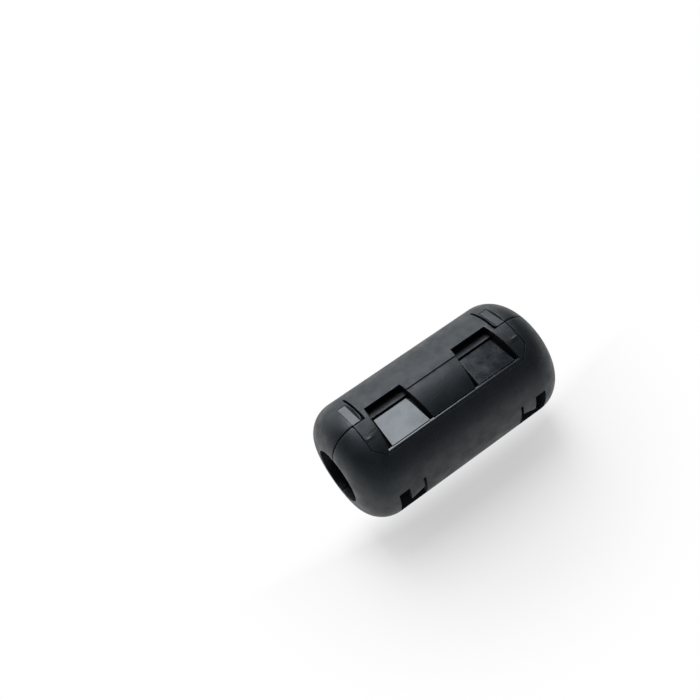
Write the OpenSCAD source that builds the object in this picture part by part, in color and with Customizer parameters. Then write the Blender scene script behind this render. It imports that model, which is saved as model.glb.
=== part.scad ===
// Clip-on ferrite bead for a round cable.
// Two moulded nylon case halves, each carrying one half of a split ferrite sleeve, turn on a
// snapped hinge underneath and latch along the top.
// X runs along the cable, the latch faces up (+Z) and the hinge pad stands on Z = 0.
// The flap half is on the +Y side and the hook half on the -Y side.
// Angles round the cable start at the latch line (straight up) and grow toward the hook half.

/* [Case] */
// Overall length of the case
case_len = 37.6; // [36.6:0.1:42]
// Outside diameter of the round case
case_dia = 19.5; // [19.2:0.1:20.4]
// Radius of the rounded ends
dome_r = 4.9; // [4.5:0.1:5.6]
// Diameter of the cable opening in each end
aperture_dia = 9.2; // [9.1:0.05:9.8]
// Width of the flat land round the cable opening
end_land = 0.3; // [0.2:0.05:0.5]
// Thickness of the case at its ends
end_wall = 1.5; // [1.2:0.1:2]
// Gap between the two case halves along the parting line
parting_gap = 0.2; // [0.12:0.02:0.3]

/* [Core] */
// Outside diameter of the ferrite sleeve
core_od = 15; // [14.4:0.1:15.2]
// Inside diameter of the ferrite sleeve
core_id = 9; // [8:0.1:9]
// Length of the ferrite sleeve
core_len = 28.4; // [28:0.1:28.8]
// Chamfer round the ends of the sleeve
core_chamfer = 0.6; // [0.3:0.1:0.8]
// Play between the sleeve and its pocket
core_play = 0.1; // [0.05:0.01:0.15]
// Air gap between the two ground faces of the sleeve
core_gap = 0.04; // [0.02:0.01:0.08]

/* [Latch flap] */
// Width of the flap where it wraps over the hook half
flap_w = 28.7; // [28.3:0.1:29.1]
// Width of the neck of the flap between its two slits
neck_w = 24.4; // [24.2:0.1:24.7]
// Thickness of the flap at the parting line
flap_t = 1.22; // [1.1:0.02:1.3]
// How far the flap wraps past the parting line, in degrees
flap_wrap = 37.6; // [36.4:0.2:39.4]
// Size of the corners cut off the bottom of the flap
flap_corner = 1.65; // [1.2:0.05:1.9]
// Clearance between the flap and the recess that it closes into
flap_clear = 0.09; // [0.08:0.01:0.16]
// Width of each slit beside the neck
slit_w = 0.35; // [0.25:0.05:0.4]
// How far the slits run up from the parting line, in degrees
slit_reach = 36; // [30:1:50]
// Gap behind the neck that lets the flap spring outwards
flex_gap = 0.25; // [0.15:0.05:0.3]
// Depth of the panel sunk between the windows
panel_depth = 0.2; // [0.1:0.05:0.3]
// Width of the slope along the top of the bar under the windows
bar_slope = 0.3; // [0.2:0.05:0.4]
// Radius of the corner where each slit runs into the parting line
slit_corner = 0.5; // [0.3:0.05:0.7]
// Length of the small ridge on each end of the flap
pip_len = 1.1; // [0.8:0.05:1.3]
// Width of each ridge
pip_w = 0.5; // [0.3:0.05:0.6]

/* [Windows and hooks] */
// Distance of each window from the middle of the case
window_x = 8.1; // [8:0.05:8.2]
// Width of a window at its top edge
window_top_w = 6.5; // [6.3:0.1:6.7]
// Width of a window at its bottom edge
window_bottom_w = 8.4; // [8.1:0.1:8.5]
// How far a window reaches above the parting line, in degrees
window_rise = 8; // [6:0.5:11]
// Height of the bar that closes a window at the bottom, in degrees
window_bar = 3.4; // [3.2:0.1:4.2]
// Distance of each hook from the middle of the case
hook_x = 8.05; // [7.95:0.05:8.15]
// Width of a hook at its free end
hook_top_w = 5.8; // [5.4:0.1:6]
// Width of a hook at its root
hook_root_w = 6.9; // [6.4:0.1:7.2]
// How far the crest of a hook stays below the outside of the case
hook_sink = 0.1; // [0.05:0.01:0.2]
// Gap between the catch face of a hook and the bar of the flap, in degrees round the case
catch_gap = 0.4; // [0.3:0.05:0.6]

/* [Hinge] */
// Distance of the hinge pins from the parting plane, toward the flap half
hinge_off = 1; // [0.9:0.05:1.2]
// How deep the hinge pins lie inside the round of the case
hinge_sink = 0.45; // [0.35:0.05:0.55]
// Radius of a hinge pin
pin_r = 0.55; // [0.5:0.01:0.6]
// Play between a hinge pin and its eye
pin_play = 0.05; // [0.03:0.01:0.08]
// Outside radius of the hinge eyes and of the lugs that carry the pins
knuckle_r = 1.15; // [1.05:0.05:1.25]
// Distance of each hinge eye from the middle of the case
knuckle_x = 10.5; // [10.2:0.1:10.8]
// Length of a hinge eye along its pin
eye_w = 3.5; // [3:0.1:4]
// Thickness of a hinge lug
lug_t = 1.2; // [1:0.1:1.4]
// Angle through which the bead opens
open_angle = 110; // [90:1:112]
// Length of the pad under the hinge, where it stands
pad_len = 28; // [26:0.5:29]
// Width of the pad under the hinge, where it stands
pad_w = 8; // [7.6:0.1:8.4]

/* [Core springs] */
// Distance from the middle of the case to the inner edge of each spring tab's cut-out
spring_x = 9.2; // [8.8:0.05:9.4]
// Length of each cut-out along the case
spring_cut = 4.9; // [4.6:0.1:5]
// Width of each spring tab
spring_w = 2.5; // [2.2:0.05:2.7]
// Width of the slot on the inner side of each spring tab
spring_slot = 0.45; // [0.3:0.05:0.5]
// Angle of each cut-out from the latch line
spring_at = 78.5; // [76:0.5:82]
// Height of each cut-out round the case, in degrees
spring_rise = 36; // [33:0.5:40]
// Height of each spring tab round the case, in degrees
spring_reach = 17.5; // [16:0.5:24]
// Slant of the free end of each spring tab, which is shorter on its inner side
spring_slant = 22; // [0:1:30]
// Thickness of each spring tab
spring_t = 1.1; // [0.9:0.1:1.4]

/* [End flats] */
// Length along the case of the flat-floored notch outside each slit
flat_len = 1.3; // [1:0.05:1.5]
// Height of each notch round the case
flat_h = 4.5; // [3.8:0.1:4.6]
// Depth of each notch
flat_depth = 0.35; // [0.2:0.05:0.5]

/* [Hidden] */
$fn = 96;

case_r = case_dia / 2;
case_half = case_len / 2;
aperture_r = aperture_dia / 2;
// The rounded ends are arcs that meet the end faces at the land round the opening
land_r = aperture_r + end_land;
dome_x = case_half - sqrt(pow(dome_r, 2) - pow(land_r - (case_r - dome_r), 2));
// Cavity for the core and the smaller hollows beyond its ends
pocket_r = core_od / 2 + core_play;
pocket_half = core_len / 2 + core_play;
hollow_r = pocket_r - 0.6;
hollow_end_r = hollow_r - 1;
hollow_end_x = case_half - end_wall;
rib_t = 0.8;
rib_clear = 0.15;
// Hinge: its axis, and the height of the cable axis over the foot of the pad
hinge_y = hinge_off;
hinge_z = -(case_r - hinge_sink);
foot_clear = 0.05;
foot_z = hinge_z - knuckle_r - foot_clear;
axis_h = -foot_z;
knuckle_clear_r = knuckle_r + 0.15;
eye_end_play = 0.15;
// Webs that join the eyes and lugs to the case, and the mouth through which a pin snaps in
web_out = 2.1;
web_top = 1.4;
web_low = 0.85;
mouth_low = 20;
mouth_top = 50;
lug_in = knuckle_x - eye_w / 2 - eye_end_play;
lug_out = knuckle_x + eye_w / 2 + eye_end_play;
// Slopes of the groove under the hinge: the two halves just meet there when the bead is open
flap_groove = 35;
groove_spare = 2;
hook_groove = 180 - open_angle - flap_groove - groove_spare;
// The flap and its recess are turned about the hinge, so the flap lifts straight out
flap_in_z = case_r - flap_t;
under_clear = 0.15;
flap_sweep_r = norm([hinge_y, flap_in_z - hinge_z]);
recess_sweep_r = flap_sweep_r - under_clear;
inner_wall_r = flap_in_z - flex_gap;
flap_half_w = flap_w / 2;
neck_half = neck_w / 2;
// The flap, its windows and the hooks are cut square to the case at this angle
latch_tilt = 20;
mitre = tan(22.5);
shoulder_gap = 0.12;
neck_overlap = 0.6;
flex_end = 5;
window_low = flap_wrap - window_bar;
hook_low = window_low - catch_gap;
hook_tip_y = 0.3;
hook_tip_drop = 0.15;
hook_tip_z = hinge_z + sqrt(pow(recess_sweep_r, 2) - pow(hinge_y, 2)) - hook_tip_drop;
hook_end_r = case_r - hook_sink;
hook_end_y = latch_to_y(latch_y(hook_low), hook_end_r);
hook_end_z = sqrt(pow(hook_end_r, 2) - pow(hook_end_y, 2));
panel_half = window_x - window_top_w / 2;
bar_half = window_x + window_bottom_w / 2;
pip_x = flap_half_w - 0.7;
pip_at = 18.2;
pip_height = 0.15;
small_fn = 24;
pip_ball = (pow(pip_w / 2, 2) + pow(pip_height, 2)) / (2 * pip_height);
flat_at = -13.4;
flat_in = neck_half + slit_w + 0.05;
flat_slope = 0.35;
spring_nub = 5;
reach = case_dia;
case_black = "#23282a";
core_grey = "#3a3a3e";

// Direction at an angle round the cable, as [y, z]
function round_dir(a) = [-sin(a), cos(a)];

// Place across the latch, in its tilted frame, of the case surface at an angle
function latch_y(a) = -case_r * sin(a - latch_tilt);

// The same place in the part's frame, for a point at radius r round the cable
function latch_to_y(y, r) = y * cos(latch_tilt) - sqrt(r * r - y * y) * sin(latch_tilt);

// Radius of the case at a distance from its middle
function case_r_at(x) =
    x < dome_x ? case_r : case_r - dome_r + sqrt(pow(dome_r, 2) - pow(x - dome_x, 2));

module lift() translate([0, 0, axis_h]) children();

// Extrudes an outline drawn in Y and Z from x0 to x1
module along_x(x0, x1)
    translate([x0, 0, 0]) rotate([90, 0, 90]) linear_extrude(x1 - x0) children();

module rod_x(r, x0, x1)
    translate([x0, 0, 0]) rotate([0, 90, 0]) cylinder(r = r, h = x1 - x0);

module turned_x() rotate([0, 90, 0]) rotate_extrude() children();

// Wedge from the cable axis between two angles
module sector(a0, a1, x0, x1)
    along_x(x0, x1)
        polygon([[0, 0], reach * round_dir(a0), reach * round_dir((a0 + a1) / 2), reach * round_dir(a1)]);

// Everything on one side of the parting plane, side +1 for the flap half
module beyond(side, gap)
    translate([-reach * 2, side > 0 ? gap : -gap - reach * 2, -reach])
        cube([reach * 4, reach * 2, reach * 2]);

// A column that stands square to the case at the latch
module latch_column() rotate([latch_tilt, 0, 0]) linear_extrude(reach) children();

// ---- Case, without the latch ----

module case_profile()
    intersection() {
        translate([0, -case_half]) square([case_r, case_len]);
        union() {
            translate([0, -dome_x]) square([case_r, 2 * dome_x]);
            translate([0, -case_half]) square([case_r - dome_r, case_len]);
            for (s = [-1, 1]) translate([case_r - dome_r, s * dome_x]) circle(dome_r);
        }
    }

module case_round() turned_x() case_profile();

// Pad under the hinge that the bead stands on
module hinge_pad() {
    flare = 1.2;
    shoulder = 2.25;
    intersection() {
        along_x(-case_half, case_half)
            polygon([[-pad_w / 2 - flare, foot_z + shoulder], [-pad_w / 2, foot_z],
                     [pad_w / 2, foot_z], [pad_w / 2 + flare, foot_z + shoulder],
                     [pad_w / 4, -pocket_r], [-pad_w / 4, -pocket_r]]);
        rotate([90, 0, 0])
            linear_extrude(2 * pad_w, center = true)
                polygon([[-pad_len / 2, foot_z], [pad_len / 2, foot_z],
                         [pad_len / 2 + flare, -pocket_r], [-pad_len / 2 - flare, -pocket_r]]);
    }
}

module core_cavity() {
    rod_x(pocket_r, -pocket_half, pocket_half);
    rod_x(aperture_r, -case_len, case_len);
    for (s = [0, 1]) mirror([s, 0, 0])
        translate([pocket_half - 0.01, 0, 0]) rotate([0, 90, 0])
            cylinder(r1 = hollow_r, r2 = hollow_end_r, h = hollow_end_x - pocket_half);
}

// Ribs in the end hollows, which stop the core from sliding along the case
module end_ribs(side)
    for (s = [0, 1], a = [30, 90, 150]) mirror([s, 0, 0])
        rotate([-side * a, 0, 0])
            translate([pocket_half + 0.05, -rib_t / 2, aperture_r + rib_clear])
                cube([hollow_end_x - pocket_half + 0.2, rib_t, hollow_r - aperture_r]);

// Springy tab with a slanting free end
module spring_tab(tab_x)
    difference() {
        sector(spring_at - 1, spring_at + spring_reach, tab_x, tab_x + spring_w);
        rotate([spring_at + spring_reach, 0, 0])
            translate([tab_x + spring_w, 0, 0])
                rotate([0, 0, -spring_slant])
                    translate([-reach, -reach, 0]) cube([2 * reach, reach, reach]);
    }

// Cut-out round a spring tab, which presses on the core with a nub at its free end
module spring_cutout(side)
    for (s = [0, 1]) mirror([s, 0, 0]) mirror([0, side > 0 ? 1 : 0, 0]) {
        tab_x = spring_x + spring_slot;
        difference() {
            sector(spring_at, spring_at + spring_rise, spring_x, spring_x + spring_cut);
            spring_tab(tab_x);
            rod_x(pocket_r - 0.5, 0, case_len);
        }
        intersection() {
            sector(spring_at, spring_at + spring_reach - spring_nub, tab_x - 0.01, tab_x + spring_w + 0.01);
            rod_x(case_r - spring_t, 0, case_len);
        }
    }

// Groove under the hinge axis, cut as two slopes so that the halves can swing apart
module hinge_groove(side) {
    slope = side > 0 ? flap_groove : hook_groove;
    far = side * reach;
    translate([0, hinge_y, hinge_z])
        along_x(-case_len, case_len)
            polygon([[0, 0], [far, -reach * tan(slope)], [far, -3 * reach], [-far, -3 * reach], [-far, 0]]);
}

module knuckle_room()
    for (s = [0, 1]) mirror([s, 0, 0])
        translate([0, hinge_y, hinge_z])
            rod_x(knuckle_clear_r, lug_in - lug_t - eye_end_play, lug_out + lug_t + eye_end_play);

module half_case(side)
    difference() {
        union() {
            difference() {
                union() {
                    case_round();
                    hinge_pad();
                }
                core_cavity();
            }
            end_ribs(side);
        }
        beyond(-side, -parting_gap / 2);
        hinge_groove(side);
        knuckle_room();
        spring_cutout(side);
    }

// ---- Latch ----

// Outline of the flap beyond the parting line, grown by a clearance
module flap_shape(grow) {
    low = latch_y(flap_wrap);
    right = [[flap_half_w + grow, case_r],
             [flap_half_w + grow, low + flap_corner - mitre * grow],
             [flap_half_w - flap_corner + mitre * grow, low - grow]];
    left = [for (i = [2, 1, 0]) [-right[i][0], right[i][1]]];
    polygon(concat(right, left));
}

// Tapered outline shared by a window and its hook: wider at the bottom
module taper(x, top_a, low_a, top_w, low_w)
    polygon([[x - top_w / 2, latch_y(-top_a)], [x + top_w / 2, latch_y(-top_a)],
             [x + low_w / 2, latch_y(low_a)], [x - low_w / 2, latch_y(low_a)]]);

module windows()
    for (s = [-1, 1])
        latch_column() taper(s * window_x, window_rise, window_low, window_top_w, window_bottom_w);

// Columns of the hooks, widened for a cut all round them, or with a root that goes on below them
module hooks(spare = 0, root = 0)
    for (s = [-1, 1])
        latch_column() {
            taper(s * hook_x, window_rise, hook_low, hook_top_w + spare, hook_root_w + spare);
            translate([s * hook_x - hook_root_w / 2, latch_y(hook_low) - root])
                square([hook_root_w, root + 0.01]);
        }

// Everything farther from the hinge than a radius: what the flap sweeps through as it opens
module outside_sweep(r)
    difference() {
        translate([-case_len, -reach, 0]) cube([case_len * 2, reach * 2, reach]);
        translate([0, hinge_y, hinge_z]) rod_x(r, -case_len * 1.1, case_len * 1.1);
    }

// The part of the flap that wraps over the hook half
module flap_skirt()
    intersection() {
        case_round();
        outside_sweep(flap_sweep_r);
        latch_column() flap_shape(0);
        union() {
            beyond(-1, shoulder_gap);
            translate([-neck_half, -reach, 0]) cube([neck_w, reach + neck_overlap, reach]);
        }
    }

// Rounds the corners of the flap half between its slits and the parting line
module slit_corners()
    for (s = [0, 1]) mirror([s, 0, 0])
        translate([neck_half + slit_w - 0.01, parting_gap / 2 - 0.01, 0])
            linear_extrude(reach)
                difference() {
                    square(slit_corner);
                    translate([slit_corner, slit_corner]) circle(slit_corner, $fn = small_fn);
                }

// Slits, flex gap and windows, all cut down to the inner wall
module latch_cuts() {
    difference() {
        union() {
            for (s = [0, 1]) mirror([s, 0, 0])
                sector(-slit_reach, 0, neck_half, neck_half + slit_w);
            windows();
            slit_corners();
        }
        rod_x(inner_wall_r, -case_len, case_len);
    }
    difference() {
        sector(flex_end - slit_reach, 0, -neck_half - 0.01, neck_half + 0.01);
        rod_x(inner_wall_r, -case_len, case_len);
        difference() {
            rod_x(reach, -case_len, case_len);
            rod_x(flap_in_z, -case_len * 1.1, case_len * 1.1);
        }
    }
}

// Panel sunk between the windows, with a slope up to the bar that also runs along the windows
module sunk_panel() {
    floor_r = case_r - panel_depth;
    slope_in = latch_y(window_low);
    slope_out = slope_in - bar_slope;
    difference() {
        sector(0, window_low, -panel_half, panel_half);
        rod_x(floor_r, -case_len, case_len);
    }
    rotate([latch_tilt, 0, 0])
        along_x(-bar_half, bar_half)
            polygon([[slope_in, sqrt(pow(floor_r, 2) - pow(slope_in, 2))],
                     [slope_out, sqrt(pow(case_r, 2) - pow(slope_out, 2))],
                     [slope_out, reach], [slope_in + 0.01, reach], [slope_in + 0.01, flap_in_z]]);
}

// Notches with flat floors, outside the slits, which run out at the parting line
module end_flats() {
    floor_z = case_r - flat_depth;
    out = flat_in + flat_slope;
    for (s = [0, 1]) mirror([s, 0, 0])
        rotate([90 + flat_at, 0, 0])
            linear_extrude(flat_h, center = true)
                polygon([[flat_in, case_r], [out, floor_z], [out + flat_len, floor_z],
                         [out + flat_len + flat_slope / 2, case_r], [out + flat_len, reach], [out, reach]]);
}

// Small ridges on the ends of the flap
module pips()
    for (s = [-1, 1])
        rotate([pip_at, 0, 0])
            translate([s * pip_x, 0, case_r_at(pip_x) + pip_height - pip_ball]) {
                rod_x(pip_ball, -(pip_len - pip_w) / 2, (pip_len - pip_w) / 2, $fn = small_fn);
                for (e = [-1, 1])
                    translate([e * (pip_len - pip_w) / 2, 0, 0]) sphere(pip_ball, $fn = small_fn);
            }

// ---- Hinge ----

// Eyes on the flap half that snap over the pins
module hinge_eyes()
    for (s = [0, 1]) mirror([s, 0, 0])
        translate([0, hinge_y, hinge_z])
            difference() {
                union() {
                    rod_x(knuckle_r, knuckle_x - eye_w / 2, knuckle_x + eye_w / 2);
                    along_x(knuckle_x - eye_w / 2, knuckle_x + eye_w / 2)
                        polygon([[knuckle_r / 2, -pin_r / 2], [knuckle_r * 1.3, -web_low],
                                 [web_out, -web_low], [web_out, web_top], [knuckle_r / 2, web_top]]);
                }
                rod_x(pin_r + pin_play, 0, case_len);
                along_x(0, case_len)
                    polygon([[0, 0], for (a = [-mouth_low, mouth_top]) web_out * [-cos(a), -sin(a)]]);
            }

// Lugs on the hook half, with a pin between each pair
module hinge_pins()
    for (s = [0, 1]) mirror([s, 0, 0])
        translate([0, hinge_y, hinge_z]) {
            rod_x(pin_r, lug_in - 0.1, lug_out + 0.1);
            for (x = [lug_in - lug_t, lug_out]) {
                rod_x(knuckle_r, x, x + lug_t);
                along_x(x, x + lug_t)
                    polygon([[-pin_r / 2, web_low], [-knuckle_r, web_low], [-web_out, web_top],
                             [-web_out, -web_low], [-knuckle_r * 1.2, -web_low], [-pin_r / 2, -web_low / 2]]);
            }
        }

// ---- Pieces ----

module flap_half()
    color(case_black) lift() {
        difference() {
            union() {
                half_case(1);
                flap_skirt();
                pips();
            }
            latch_cuts();
            sunk_panel();
            end_flats();
        }
        hinge_eyes();
    }

module hook_half()
    color(case_black) lift() {
        difference() {
            half_case(-1);
            // recess under the flap, with the hooks left standing
            difference() {
                intersection() {
                    outside_sweep(recess_sweep_r);
                    latch_column() flap_shape(flap_clear);
                }
                hooks();
            }
            // sloping faces and free ends of the hooks
            intersection() {
                hooks(spare = 0.02);
                along_x(-case_len, case_len)
                    polygon([[-hook_tip_y, hook_tip_z], [hook_end_y, hook_end_z],
                             [hook_end_y - 1, hook_end_z], [-reach, reach], [reach, reach],
                             [reach, -1], [-hook_tip_y, -1]]);
            }
            // slots on both sides of each hook
            difference() {
                windows();
                hooks(root = 1);
                rod_x(pocket_r - 0.5, -case_len, case_len);
            }
        }
        hinge_pins();
    }

module half_core(side)
    color(core_grey) lift()
        difference() {
            turned_x()
                polygon([[core_id / 2, -core_len / 2], [core_od / 2 - core_chamfer, -core_len / 2],
                         [core_od / 2, -core_len / 2 + core_chamfer],
                         [core_od / 2, core_len / 2 - core_chamfer],
                         [core_od / 2 - core_chamfer, core_len / 2], [core_id / 2, core_len / 2]]);
            beyond(-side, -core_gap / 2);
        }

module flap_side_core() half_core(1);

module hook_side_core() half_core(-1);

flap_half();
hook_half();
flap_side_core();
hook_side_core();
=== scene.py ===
# %% [markdown]
# The bead is four pieces: two halves of a black nylon case on a hinge, and the two halves of the
# ferrite sleeve that they close round a cable. The CAD frame gives their exact shapes, places and
# motion. This lesson dresses them: it eases their edges, gives each surface its real finish, and
# sets up a small studio and a camera. The first cell loads the frame. The box of one sleeve half
# gives the height of the axis that the cable, the sleeve and the case share.

import math

import bmesh
import bpy
from mathutils import Matrix, Vector
from mathutils.bvhtree import BVHTree
from mathutils.kdtree import KDTree


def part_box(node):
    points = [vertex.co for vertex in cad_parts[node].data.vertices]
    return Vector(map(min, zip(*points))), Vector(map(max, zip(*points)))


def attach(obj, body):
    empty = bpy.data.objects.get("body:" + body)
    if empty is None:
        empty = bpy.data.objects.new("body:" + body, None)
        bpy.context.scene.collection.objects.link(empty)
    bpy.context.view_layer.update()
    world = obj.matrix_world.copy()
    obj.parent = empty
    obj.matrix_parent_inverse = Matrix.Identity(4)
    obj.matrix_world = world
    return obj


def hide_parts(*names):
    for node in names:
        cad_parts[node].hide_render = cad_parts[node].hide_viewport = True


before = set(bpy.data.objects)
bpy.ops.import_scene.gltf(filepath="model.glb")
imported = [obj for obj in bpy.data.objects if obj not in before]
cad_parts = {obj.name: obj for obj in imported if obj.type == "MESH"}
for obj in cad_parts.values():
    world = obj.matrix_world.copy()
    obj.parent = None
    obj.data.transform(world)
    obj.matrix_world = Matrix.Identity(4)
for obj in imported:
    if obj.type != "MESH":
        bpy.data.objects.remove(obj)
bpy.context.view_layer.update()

MM = 0.001
core_low, core_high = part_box("flap_side_core")
AXIS_HEIGHT = (core_low[2] + core_high[2]) / 2
scene = bpy.context.scene
scene.view_settings.view_transform = "Standard"

# %% [markdown]
# A camera in Blender looks down its own -Z axis. The bead is seen from high up, a little to the
# left of square on to the flap, with the camera rolled so that the bead lies on the slant. A view
# direction, the eye point and the roll say that more plainly than three Euler angles, so the
# rotation is worked out from them. The sensor stays at Blender's 36 mm.

# %% Camera
EYE = Vector((-42.82, -65.04, 130.71)) * MM
VIEW_AZIMUTH, VIEW_ELEVATION, VIEW_ROLL = -25.29, 52.595, -12.90
LENS = 46.80


def looking(azimuth, elevation):
    """Direction of a view from an azimuth, 0 in front of the hook half, and an elevation."""
    a, e = math.radians(azimuth), math.radians(elevation)
    return Vector((-math.sin(a) * math.cos(e), math.cos(a) * math.cos(e), -math.sin(e)))


camera = bpy.data.objects.new("camera", bpy.data.cameras.new("camera"))
scene.collection.objects.link(camera)
scene.camera = camera
camera.data.lens = LENS
camera.data.clip_start = 1 * MM
camera.location = EYE
turn = looking(VIEW_AZIMUTH, VIEW_ELEVATION).to_track_quat("-Z", "Y").to_matrix()
camera.rotation_euler = (turn @ Matrix.Rotation(math.radians(VIEW_ROLL), 3, "Z")).to_euler()
print("camera", [round(v / MM, 1) for v in camera.location], "lens", LENS)

# %% [markdown]
# Colours are written as sRGB hex, as a paint chart gives them, and one function turns them to the
# linear values that Blender's shaders take. Materials could be drawn by hand in the Shader Editor,
# but in a script they can be read and repeated. So one more small function adds a node with its
# settings and its links, and each material below reads as a list of what it is made of.

# %% Colours and nodes


def linear(hex_colour):
    """Linear RGBA of an sRGB hex colour."""
    parts = [int(hex_colour[i:i + 2], 16) / 255 for i in (1, 3, 5)]
    return [v / 12.92 if v <= 0.04045 else ((v + 0.055) / 1.055) ** 2.4 for v in parts] + [1.0]


def add_node(tree, kind, inputs=None, **settings):
    """A new node, with its settings and with a value or a link for each named input."""
    node = tree.nodes.new(kind)
    for name, value in settings.items():
        setattr(node, name, value)
    for socket, value in (inputs or {}).items():
        if isinstance(value, bpy.types.NodeSocket):
            tree.links.new(value, node.inputs[socket])
        else:
            node.inputs[socket].default_value = value
    return node


def new_material(name):
    """An empty node material with its output node, and its tree."""
    material = bpy.data.materials.new(name)
    material.use_nodes = True
    material.node_tree.nodes.clear()
    return material, material.node_tree


MID_GREY = "#808080"
print("sRGB", MID_GREY, "is linear", [round(v, 3) for v in linear(MID_GREY)[:3]])

# %% [markdown]
# The case is injection-moulded nylon 66, coloured black through. The mould was spark-eroded, which
# leaves fine craters on the moulded skin: the eye sees a soft satin that goes pale at a grazing
# angle, with a faint mottle where the skin cooled unevenly. The real craters are about 0.05 mm
# across and too fine to show, so one noise draws them at 0.3 mm and finer for the bump, and a
# second noise, 2 mm across, varies the roughness. An image of such a skin would need the case to be
# unwrapped, while noise on Object coordinates keeps its size on every face.

# %% Spark-eroded nylon
CRATER = 0.3 * MM
MOTTLE = 2 * MM
NOISE_SPAN = (0.3, 0.7)
NYLON_BLACK = "#13181e"
NYLON_IOR = 1.53
SHEEN_BLUE = "#eef8ff"


def moulded_nylon(name, colour, rough, relief):
    """Black nylon whose roughness wanders between two values over craters of a given relief."""
    material, tree = new_material(name)
    place = add_node(tree, "ShaderNodeTexCoord").outputs["Object"]
    crater = add_node(tree, "ShaderNodeTexNoise", {
        "Vector": place, "Scale": 1 / CRATER, "Detail": 3.0, "Roughness": 0.8})
    patch = add_node(tree, "ShaderNodeTexNoise", {
        "Vector": place, "Scale": 1 / MOTTLE, "Detail": 3.0, "Roughness": 0.6})
    roughness = add_node(tree, "ShaderNodeMapRange", {
        "Value": patch.outputs["Fac"], "From Min": NOISE_SPAN[0], "From Max": NOISE_SPAN[1],
        "To Min": rough[0], "To Max": rough[1]})
    bump = add_node(tree, "ShaderNodeBump", {
        "Height": crater.outputs["Fac"], "Distance": relief, "Strength": 1.0})
    shader = add_node(tree, "ShaderNodeBsdfPrincipled", {
        "Base Color": linear(colour), "Roughness": roughness.outputs["Result"],
        "IOR": NYLON_IOR, "Specular Tint": linear(SHEEN_BLUE), "Normal": bump.outputs["Normal"]})
    add_node(tree, "ShaderNodeOutputMaterial", {"Surface": shader.outputs["BSDF"]})
    return material


eroded_nylon = moulded_nylon("spark_eroded_nylon", NYLON_BLACK, (0.38, 0.58), 0.032 * MM)
print("made", eroded_nylon.name)

# %% [markdown]
# The ramps of the two hooks and the floors of the flats beside the slits are formed by separate
# steel inserts, which are polished so that the moulding slides off them. There the same nylon comes
# out smooth, with a tenth of the relief, and reflects a lamp as a clear pale patch. Its base colour
# is also set a little paler than the rest of the case, which is a painted highlight on these lit
# faces.

# %% Polished nylon with a painted highlight
# A little paler than NYLON_BLACK: a painted highlight on the polished faces.
POLISHED_BLACK_PAINTED_PALER = "#1a1e23"
polished_nylon_with_painted_highlight = moulded_nylon("polished_nylon_with_painted_highlight", POLISHED_BLACK_PAINTED_PALER, (0.1, 0.22), 0.003 * MM)
print("made", polished_nylon_with_painted_highlight.name)

# %% [markdown]
# The sleeve is sintered nickel-zinc ferrite, a dark grey ceramic that was pressed, fired and
# tumbled. It looks dull and faintly metallic, with fine pits where grains broke out and a cloudy
# grey from the firing. The two faces that meet are ground flat afterwards: they come out paler and
# smoother, with fine marks along the sleeve from the grinding wheel. Both finishes are one ceramic,
# so one function makes both, and a Mapping node draws the pits out into grinding marks. Real pits
# and marks are about 0.05 mm wide, and are drawn at 0.3 and 0.15 mm so that they show.

# %% Sintered and ground ferrite
CLOUD = 3 * MM
GREY_STOPS = (0.35, 0.65)
PIT_SHARE = 0.4
FERRITE_METALLIC = 0.15


def ferrite(name, greys, rough, grain, relief):
    """Ferrite between two greys and two roughnesses, with pits of a given size along X, Y and Z."""
    material, tree = new_material(name)
    place = add_node(tree, "ShaderNodeTexCoord").outputs["Object"]
    cloud = add_node(tree, "ShaderNodeTexNoise", {
        "Vector": place, "Scale": 1 / CLOUD, "Detail": 4.0}).outputs["Fac"]
    grey = add_node(tree, "ShaderNodeValToRGB", {"Fac": cloud})
    for stop, position, colour in zip(grey.color_ramp.elements, GREY_STOPS, greys):
        stop.position, stop.color = position, linear(colour)
    drawn = add_node(tree, "ShaderNodeMapping", {
        "Vector": place, "Scale": [1 / size for size in grain]})
    cells = add_node(tree, "ShaderNodeTexVoronoi", {
        "Vector": drawn.outputs["Vector"], "Scale": 1.0, "Detail": 1.0})
    pits = add_node(tree, "ShaderNodeMapRange", {
        "Value": cells.outputs["Distance"], "From Max": PIT_SHARE}).outputs["Result"]
    roughness = add_node(tree, "ShaderNodeMapRange", {
        "Value": pits, "To Min": rough[1], "To Max": rough[0]})
    bump = add_node(tree, "ShaderNodeBump", {
        "Height": pits, "Distance": relief, "Strength": 1.0})
    shader = add_node(tree, "ShaderNodeBsdfPrincipled", {
        "Base Color": grey.outputs["Color"], "Metallic": FERRITE_METALLIC,
        "Roughness": roughness.outputs["Result"], "Normal": bump.outputs["Normal"]})
    add_node(tree, "ShaderNodeOutputMaterial", {"Surface": shader.outputs["BSDF"]})
    return material


sintered_ferrite = ferrite("sintered_ferrite", ("#373638", "#454447"), (0.42, 0.6),
                           (0.3 * MM, 0.3 * MM, 0.3 * MM), 0.01 * MM)
ground_ferrite = ferrite("ground_ferrite", ("#494a50", "#55565c"), (0.36, 0.5),
                         (4 * MM, 0.15 * MM, 0.15 * MM), 0.003 * MM)
print("made", sintered_ferrite.name, "and", ground_ferrite.name)

# %% [markdown]
# No moulded edge is a true corner: the mould rounds it to about a tenth of a millimetre, and that
# round catches the light as a thin bright line. The CAD solids have sharp corners, so the case
# halves get a bevel. A CAD mesh arrives as loose triangles, which a bevel can't follow, so each
# half is copied, its doubled points are merged and its flat triangles are joined. The CAD's own
# mesh stays as it is.

# %% Merged copies of the case halves
MERGE = 0.001 * MM
FLAT = math.radians(0.6)


def merged_copy(node):
    """A CAD node's shape as one closed bmesh."""
    shape = bmesh.new()
    shape.from_mesh(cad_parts[node].data)
    bmesh.ops.remove_doubles(shape, verts=shape.verts, dist=MERGE)
    bmesh.ops.dissolve_limit(shape, angle_limit=FLAT, verts=shape.verts, edges=shape.edges)
    return shape


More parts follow.
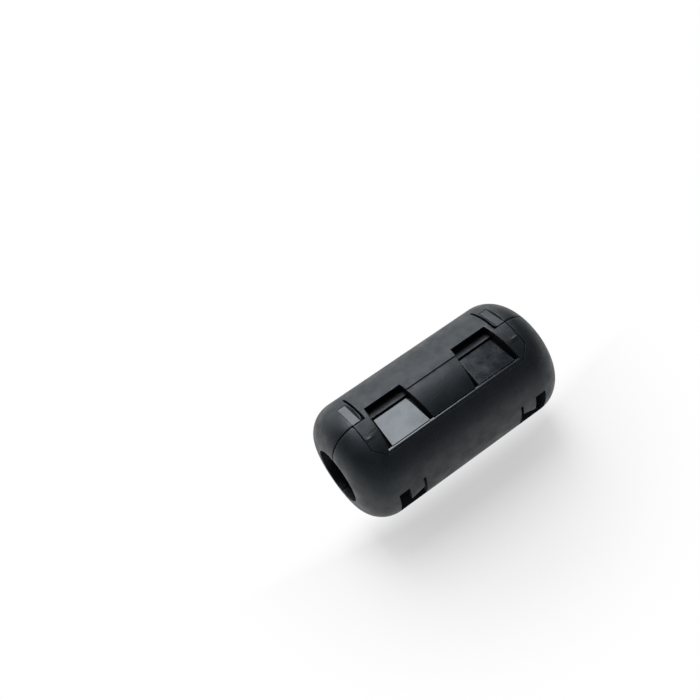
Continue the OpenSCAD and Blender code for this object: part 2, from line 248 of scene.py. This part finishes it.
halves = {node: merged_copy(node) for node in ("flap_half", "hook_half")}
for node, shape in halves.items():
    print(node, len(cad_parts[node].data.polygons), "triangles to", len(shape.faces), "faces")

# %% [markdown]
# The CAD keeps the halves 0.2 mm apart so that they clear each other in motion. Above the cable
# that is the dark line between real halves too, but real ones touch beside the hinge. So the
# parting faces from the top of the hinge up to the cable are brought together, and no light
# shines through the bead from below.

# %% Parting faces beside the hinge
PARTING_FACE = 0.1 * MM
SHUT = 0.002 * MM
HINGE_TOP = 2.1 * MM

for node, side in (("flap_half", 1), ("hook_half", -1)):
    points = [v for v in halves[node].verts
              if abs(v.co.y - side * PARTING_FACE) < MERGE and HINGE_TOP < v.co.z < AXIS_HEIGHT]
    for point in points:
        point.co.y = side * SHUT
    print(node, len(points), "points brought to the parting plane")

# %% [markdown]
# An edge is a corner where its two faces turn by more than 28 degrees. Two edges stay true
# corners: the end of a hook's ramp and the edge of the bar that it catches under, which meet with
# only 0.07 mm between them. Each long corner edge is also cut just short of its two ends, for a
# reason that the next cell gives.

# %% Corner edges
SHARP = math.radians(28)
CATCH = (33.5, 34.9)
NEARLY_ALONG = 0.9
END_PIECE = 0.15 * MM
LONG_EDGE = 4 * END_PIECE


def at_catch(edge):
    """Whether an edge runs along the catch, at its angle round the cable from the top."""
    first, last = (vertex.co for vertex in edge.verts)
    middle = (first + last) / 2
    turn = math.degrees(math.atan2(-middle.y, middle.z - AXIS_HEIGHT))
    along = abs(first.x - last.x) / (first - last).length
    return CATCH[0] < turn < CATCH[1] and along > NEARLY_ALONG


def corner_edges(shape):
    """Edges between two faces that turn sharply, apart from those at the catch."""
    return [e for e in shape.edges
            if e.is_manifold and e.calc_face_angle() > SHARP and not at_catch(e)]


def cut_near_ends(shape):
    """Cuts each long corner edge at a short distance from both its ends."""
    for edge in corner_edges(shape):
        first, last = edge.verts
        if edge.calc_length() > LONG_EDGE:
            rest = bmesh.utils.edge_split(edge, first, END_PIECE / edge.calc_length())[0]
            rest = edge if last in edge.verts else rest
            bmesh.utils.edge_split(rest, last, END_PIECE / rest.calc_length())
    shape.verts.index_update()
    shape.edges.index_update()


for node, shape in halves.items():
    cut_near_ends(shape)
    print(node, len(corner_edges(shape)), "corner edges")

# %% [markdown]
# A bevel folds over itself where it is wider than the short edges that meet it, which spoils a
# solid for printing or for a boolean. The Bevel modifier can clamp its width instead, but then one
# tight spot narrows every round. So the bevel is made on a trial copy, and a BVH tree finds the
# faces that cut through one another. The edges beside each fold are left sharp, and the next trial
# follows, until there is no fold. The short end pieces from the cell above keep this loss small: a
# fold at a corner costs a short piece of the edge and not all of it.

# %% A bevel that backs off where it would fold
EDGE_EASE = 0.07 * MM
EASE_FACES = 3
NEAR_FOLD = 0.06 * MM
WIDEN = 1.3


def folds(shape):
    """Points on the faces that cut through another face of the same shape."""
    cut = shape.copy()
    bmesh.ops.triangulate(cut, faces=cut.faces)
    cut.faces.ensure_lookup_table()
    tree = BVHTree.FromBMesh(cut)
    pairs = [(cut.faces[a], cut.faces[b]) for a, b in tree.overlap(tree) if a < b]
    points = [v.co.copy() for one, other in pairs if not set(one.verts) & set(other.verts)
              for v in [*one.verts, *other.verts]]
    cut.free()
    return points


def near(shape, points, reach):
    """Index numbers of the edges that end within a reach of any of the points."""
    tree = KDTree(len(shape.verts))
    for vertex in shape.verts:
        tree.insert(vertex.co, vertex.index)
    tree.balance()
    shape.verts.ensure_lookup_table()
    found = {i for point in points for _, i, _ in tree.find_range(point, reach)}
    return {edge.index for i in found for edge in shape.verts[i].link_edges}


def eased(shape):
    """The shape with its corner edges bevelled, apart from those beside a fold."""
    corners = {edge.index for edge in corner_edges(shape)}
    reach = NEAR_FOLD
    while True:
        trial = shape.copy()
        for edge in trial.edges:
            edge.smooth = edge.index in corners or edge.calc_face_angle() < SHARP
        bmesh.ops.bevel(trial, geom=[e for e in trial.edges if e.index in corners],
                        offset=EDGE_EASE, segments=EASE_FACES, profile=0.5, affect="EDGES",
                        clamp_overlap=False)
        points = folds(trial)
        if not points:
            print(len(corners), "edges eased,", len(trial.faces), "faces")
            return trial
        trial.free()
        corners -= near(shape, points, reach)
        reach *= WIDEN


rounded = {node: eased(shape) for node, shape in halves.items()}

# %% [markdown]
# Each eased shape becomes an object of its own. Its faces are smooth apart from the corners that
# stayed sharp, and the Weighted Normal modifier keeps the large faces flat beside the small
# rounds. The modifier's result is made a plain mesh, so nothing is left live on the piece.

# %% Case halves


def plain_result(piece, modifier):
    """Replaces a piece's mesh by its evaluated one, and removes the modifier."""
    bpy.context.view_layer.update()
    mesh = bpy.data.meshes.new_from_object(
        piece.evaluated_get(bpy.context.evaluated_depsgraph_get()))
    piece.modifiers.remove(modifier)
    piece.data = mesh


def case_piece(node, name):
    """An eased case half as an object, with the two nylon finishes in its slots."""
    shape = rounded[node]
    # An eased case half, its slots holding both nylon finishes, one with a painted highlight.
    for face in shape.faces:
        face.smooth = True
    mesh = bpy.data.meshes.new(name)
    shape.to_mesh(mesh)
    mesh.materials.append(eroded_nylon)
    mesh.materials.append(polished_nylon_with_painted_highlight)
    piece = bpy.data.objects.new(name, mesh)
    scene.collection.objects.link(piece)
    weigh = piece.modifiers.new("weigh", "WEIGHTED_NORMAL")
    weigh.keep_sharp = True
    plain_result(piece, weigh)
    print(name, len(piece.data.polygons), "faces")
    return piece


flap_case = case_piece("flap_half", "flap_case")
hook_case = case_piece("hook_half", "hook_case")
for shape in [*halves.values(), *rounded.values()]:
    shape.free()

# %% [markdown]
# The polished faces could be picked by hand in Edit Mode, but a rule still holds when the mesh
# changes: they are the faces that look one way and lie in one box. They get the second material
# slot, whose paler colour is a painted highlight. A polished face is truly flat, and a reflection
# in it shows any lean of its normals, so each of its corners gets the face's own normal.

# %% Polished faces
RAMP_NORMAL = Vector((0, -0.054, 0.9985))
BAR_NORMAL = Vector((0, 0.05, 0.9987))
FLAT_TURN = math.radians(13.4)
FLAT_NORMAL = Vector((0, math.sin(FLAT_TURN), math.cos(FLAT_TURN)))
ONE_WAY = 0.9995


def polish(piece, normal, across, height):
    """Polishes and paints a highlight on faces with a normal, by distance from the middle and
    height, in mm.
    """
    mesh = piece.data
    normals = [corner.vector.copy() for corner in mesh.corner_normals]
    found = 0
    for face in mesh.polygons:
        x, z = abs(face.center.x) / MM, face.center.z / MM
        if (across[0] <= x < across[1] and height[0] < z < height[1]
                and face.normal.dot(normal) > ONE_WAY):
            face.material_index = 1
            found += 1
            for corner in face.loop_indices:
                normals[corner] = face.normal.copy()
    mesh.normals_split_custom_set(normals)
    print(piece.name, found, "polished faces")


polish(hook_case, RAMP_NORMAL, across=(4.4, 11.7), height=(18.3, 19.0))
polish(flap_case, BAR_NORMAL, across=(0, 12.7), height=(18.3, 18.5))
polish(flap_case, FLAT_NORMAL, across=(12.85, 14.5), height=(19.0, 19.8))

# %% [markdown]
# The sleeve half is one profile swept round half a turn. It could be a mesh that Spin turns, but it
# follows a rule, and Geometry Nodes hold that rule with its sizes as named inputs, so that one tree
# makes both halves. The length and the outside come from the box of the CAD's own sleeve half.

# %% Inputs of the sleeve's tree
WALL = 3 * MM
SLEEVE = {"Middle radius": (core_high[2] - core_low[2] - WALL) / 2, "Wall": WALL,
          "Length": core_high[0] - core_low[0], "Edge radius": 0.6 * MM,
          "Face setback": 0.001 * MM, "Axis height": AXIS_HEIGHT}
half_sleeve = bpy.data.node_groups.new("half_sleeve", "GeometryNodeTree")
for name in [*SLEEVE, "Turn"]:
    half_sleeve.interface.new_socket(name, in_out="INPUT", socket_type="NodeSocketFloat")
half_sleeve.interface.new_socket("Geometry", in_out="OUTPUT", socket_type="NodeSocketGeometry")
size = add_node(half_sleeve, "NodeGroupInput").outputs
print("inputs in mm", {name: round(value / MM, 3) for name, value in SLEEVE.items()})

# %% [markdown]
# A rectangle with rounded corners is the profile, an arc is the path, and Curve to Mesh sweeps one
# along the other and closes both ends. An end of the sweep stands square to the last straight
# piece of the arc. So the arc starts half a piece early and ends half a piece late, which turns
# both ends parallel to the plane where the sleeve halves meet.

# %% Profile swept along an arc
ARC_PIECES = 120
PIECE = math.pi / ARC_PIECES

wall = add_node(half_sleeve, "GeometryNodeCurvePrimitiveQuadrilateral", {
    "Width": size["Wall"], "Height": size["Length"]})
profile = add_node(half_sleeve, "GeometryNodeFilletCurve", {
    "Curve": wall.outputs[0], "Radius": size["Edge radius"], "Count": 4, "Limit Radius": True},
    mode="POLY")
path = add_node(half_sleeve, "GeometryNodeCurveArc", {
    "Resolution": ARC_PIECES + 2, "Radius": size["Middle radius"],
    "Start Angle": -PIECE / 2, "Sweep Angle": math.pi + PIECE})
swept = add_node(half_sleeve, "GeometryNodeCurveToMesh", {
    "Curve": path.outputs[0], "Profile Curve": profile.outputs[0], "Fill Caps": True})
print("each piece of the arc turns by", round(math.degrees(PIECE), 2), "degrees")

# %% [markdown]
# Both ends now reach a little past that plane, as those of the fired sleeve do before they are
# ground. Set Position does what the grinding wheel does: it brings every point past the plane to
# just in front of it, so that the two halves stay a hair apart.

# %% Ground ends
position = add_node(half_sleeve, "GeometryNodeInputPosition").outputs["Position"]
point = add_node(half_sleeve, "ShaderNodeSeparateXYZ", {"Vector": position}).outputs
clear = add_node(half_sleeve, "ShaderNodeMath", {0: point["Y"], 1: size["Face setback"]},
                 operation="MAXIMUM")
moved = add_node(half_sleeve, "ShaderNodeCombineXYZ", {
    "X": point["X"], "Y": clear.outputs[0], "Z": point["Z"]})
ground = add_node(half_sleeve, "GeometryNodeSetPosition", {
    "Geometry": swept.outputs[0], "Position": moved.outputs[0]})
print("ground faces stand back by", SLEEVE["Face setback"] / MM, "mm")

# %% [markdown]
# The half is turned to its own side and laid along the cable. Then it gets its finishes: the faces
# that lie in the plane between the halves are ground, and all the others are as fired.

# %% Laid along the cable
IN_PLANE = 0.01 * MM

side = add_node(half_sleeve, "ShaderNodeCombineXYZ", {"Z": size["Turn"]})
turned = add_node(half_sleeve, "GeometryNodeTransform", {
    "Geometry": ground.outputs[0], "Rotation": side.outputs[0]})
lift = add_node(half_sleeve, "ShaderNodeCombineXYZ", {"Z": size["Axis height"]})
laid = add_node(half_sleeve, "GeometryNodeTransform", {
    "Geometry": turned.outputs[0], "Translation": lift.outputs[0],
    "Rotation": (0.0, math.pi / 2, 0.0)})
real = add_node(half_sleeve, "GeometryNodeRealizeInstances", {"Geometry": laid.outputs[0]})
skin = add_node(half_sleeve, "GeometryNodeSetMaterial", {
    "Geometry": real.outputs[0], "Material": sintered_ferrite})
from_plane = add_node(half_sleeve, "ShaderNodeMath", {0: point["Y"]}, operation="ABSOLUTE")
meeting = add_node(half_sleeve, "ShaderNodeMath", {
    0: from_plane.outputs[0], 1: IN_PLANE}, operation="LESS_THAN")
faces = add_node(half_sleeve, "GeometryNodeSetMaterial", {
    "Geometry": skin.outputs[0], "Selection": meeting.outputs[0], "Material": ground_ferrite})
add_node(half_sleeve, "NodeGroupOutput", {"Geometry": faces.outputs[0]})
print("the tree has", len(half_sleeve.nodes), "nodes")

# %% [markdown]
# A modifier's inputs are set by each socket's identifier before the object is first evaluated.
# The evaluated result is then copied to a plain mesh, which is what the frame and the export want.
# Edges that turn by less than 40 degrees are shaded smooth: the sweep's own facets turn by 1.5, and
# those of the rounded edges by 18, while the ground faces keep their true corners.

# %% The two sleeve halves
SMOOTH = math.radians(40)


def sleeve_half(name, turn):
    """One half of the sleeve as a plain mesh, on the +Y side, or on the -Y side at half a turn."""
    maker = bpy.data.objects.new(name, bpy.data.meshes.new(name))
    scene.collection.objects.link(maker)
    grow = maker.modifiers.new("sleeve", "NODES")
    grow.node_group = half_sleeve
    values = dict(SLEEVE, Turn=turn)
    for socket in half_sleeve.interface.items_tree:
        if socket.in_out == "INPUT":
            grow[socket.identifier] = float(values[socket.name])
    plain_result(maker, grow)
    maker.data.shade_smooth()
    maker.data.set_sharp_from_angle(angle=SMOOTH)
    corners = [Vector(c) / MM for c in maker.bound_box]
    print(name, len(maker.data.polygons), "faces, from",
          [round(min(c[i] for c in corners), 2) for i in range(3)],
          "to", [round(max(c[i] for c in corners), 2) for i in range(3)])
    return maker


flap_sleeve = sleeve_half("flap_sleeve", 0.0)
hook_sleeve = sleeve_half("hook_sleeve", math.pi)

# %% [markdown]
# Each piece rides on the body that carries it in the frame and stands for its CAD node, which is
# hidden. Each row also names a slot of the record for its finish, which this cell does not use.

# %% Ride and replace
for piece, body, node, slot in [
        (flap_case, "flap_side", "flap_half", "case_nylon"),
        (hook_case, "hook_side", "hook_half", "case_nylon"),
        (flap_sleeve, "flap_side", "flap_side_core", "core_ferrite"),
        (hook_sleeve, "hook_side", "hook_side_core", "core_ferrite")]:
    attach(piece, body)
    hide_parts(node)
    print(piece.name, "rides on", body, "and stands for", node)

# %% [markdown]
# The bead stands on a plain white sheet. As it opens, the flap side swings down below the sheet,
# which would hide it. So the sheet steps down just behind the hook side's foot, as at the edge of
# a table, and the step is deep enough for the open half.

# %% Floor with a step
FLOOR_REACH = 1500 * MM
STEP_BACK = -1.5 * MM
STEP_DEPTH = 16 * MM

sheet = bmesh.new()
rows = [[sheet.verts.new((x, y, z)) for x in (-FLOOR_REACH, FLOOR_REACH)] for y, z in [
    (-FLOOR_REACH, 0), (STEP_BACK, 0), (STEP_BACK, -STEP_DEPTH), (FLOOR_REACH, -STEP_DEPTH)]]
for (a, b), (c, d) in zip(rows, rows[1:]):
    sheet.faces.new((a, b, d, c))
floor_mesh = bpy.data.meshes.new("floor")
sheet.to_mesh(floor_mesh)
sheet.free()
floor = bpy.data.objects.new("floor", floor_mesh)
scene.collection.objects.link(floor)
print("floor normals", [tuple(round(v, 1) for v in f.normal) for f in floor_mesh.polygons])

# %% [markdown]
# The sheet is white paper, lit by the lamps, so the bead keeps a soft shadow. About half of what
# is seen of it is plain white, whatever light falls there. That share rises to the whole at the
# step, which hides the step and the lower sheet, and also far from the bead, where the light of
# the lamps fades. A Map Range node makes each rise, and the larger of the two counts.

# %% The plain white share of the sheet
PLAIN_WHITE = 0.55
NEAR, FAR = 12 * MM, 45 * MM
STEP_FADE = -10 * MM
paper, tree = new_material("white_paper")
place = add_node(tree, "ShaderNodeTexCoord").outputs["Object"]
away = add_node(tree, "ShaderNodeVectorMath", {0: place}, operation="LENGTH").outputs["Value"]
back = add_node(tree, "ShaderNodeSeparateXYZ", {0: place}).outputs["Y"]
far_share = add_node(tree, "ShaderNodeMapRange", {
    "Value": away, "From Min": NEAR, "From Max": FAR,
    "To Min": PLAIN_WHITE, "To Max": 1.0}, interpolation_type="SMOOTHSTEP")
step_share = add_node(tree, "ShaderNodeMapRange", {
    "Value": back, "From Min": STEP_FADE, "From Max": STEP_BACK,
    "To Min": PLAIN_WHITE, "To Max": 1.0}, interpolation_type="SMOOTHSTEP")
share = add_node(tree, "ShaderNodeMath", {
    0: far_share.outputs["Result"], 1: step_share.outputs["Result"]}, operation="MAXIMUM")
print("plain white share", PLAIN_WHITE, "at the bead, 1 from", round(FAR / MM), "mm on")

# %% [markdown]
# Light Path tells the rays that see the sheet, straight from the camera or in a gloss, from those
# that light the bead. Only the first get the plain white, so it adds no light to the bead.

# %% White paper
ray = add_node(tree, "ShaderNodeLightPath").outputs
mirrored = add_node(tree, "ShaderNodeMath", {
    0: ray["Is Glossy Ray"], 1: ray["Is Transmission Ray"]}, operation="MAXIMUM")
seen = add_node(tree, "ShaderNodeMath", {
    0: ray["Is Camera Ray"], 1: mirrored.outputs[0]}, operation="MAXIMUM")
plain = add_node(tree, "ShaderNodeMath", {
    0: seen.outputs[0], 1: share.outputs[0]}, operation="MULTIPLY")
lit = add_node(tree, "ShaderNodeBsdfDiffuse", {"Color": linear("#f4f4f4")})
white = add_node(tree, "ShaderNodeEmission", {"Color": linear("#ffffff"), "Strength": 1.0})
shader = add_node(tree, "ShaderNodeMixShader", {
    0: plain.outputs[0], 1: lit.outputs[0], 2: white.outputs[0]})
add_node(tree, "ShaderNodeOutputMaterial", {"Surface": shader.outputs[0]})
floor_mesh.materials.append(paper)
print("made", paper.name)

# %% [markdown]
# Black plastic is seen by what it reflects. Softboxes behind and above the bead give the pale
# sheen on the top of the case, and the dim room on the camera's side leaves the front dark. A
# softbox is given by where it stands, its size and its brightness, because those are what a
# reflection shows, and the lamp's watts follow from them.

# %% Lights


def softbox(name, azimuth, elevation, distance, size, brightness):
    """A rectangular lamp that faces the bead, in mm and degrees. Brightness 1 is plain white."""
    lamp = bpy.data.lights.new(name, "AREA")
    lamp.shape = "RECTANGLE"
    lamp.size, lamp.size_y = size[0] * MM, size[1] * MM
    lamp.energy = brightness * math.pi * lamp.size * lamp.size_y
    stand = bpy.data.objects.new(name, lamp)
    scene.collection.objects.link(stand)
    view = looking(azimuth, elevation)
    stand.location = Vector((0, 0, AXIS_HEIGHT)) - view * distance * MM
    stand.rotation_euler = view.to_track_quat("-Z", "Y").to_euler()
    print(name, round(lamp.energy, 2), "W")


softbox("key", azimuth=168.8, elevation=62.3, distance=666, size=(320, 400), brightness=7.2)
softbox("back", azimuth=175, elevation=22, distance=1000, size=(1400, 780), brightness=1.25)
softbox("strip", azimuth=171, elevation=31, distance=1000, size=(520, 240), brightness=3.2)

# %% [markdown]
# The room round the lamps is dim, which keeps the shaded sides of the bead dark. The camera alone
# sees it white, so that a low view has the same plain background above the sheet as below.

# %% Room
ROOM = 0.13
world = bpy.data.worlds.new("studio")
scene.world = world
world.use_nodes = True
world.node_tree.nodes.clear()
tree = world.node_tree
ray = add_node(tree, "ShaderNodeLightPath").outputs
level = add_node(tree, "ShaderNodeMapRange", {
    "Value": ray["Is Camera Ray"], "To Min": ROOM, "To Max": 1.0})
room = add_node(tree, "ShaderNodeBackground", {
    "Color": linear("#ffffff"), "Strength": level.outputs["Result"]})
add_node(tree, "ShaderNodeOutputWorld", {"Surface": room.outputs[0]})
print("room", ROOM)
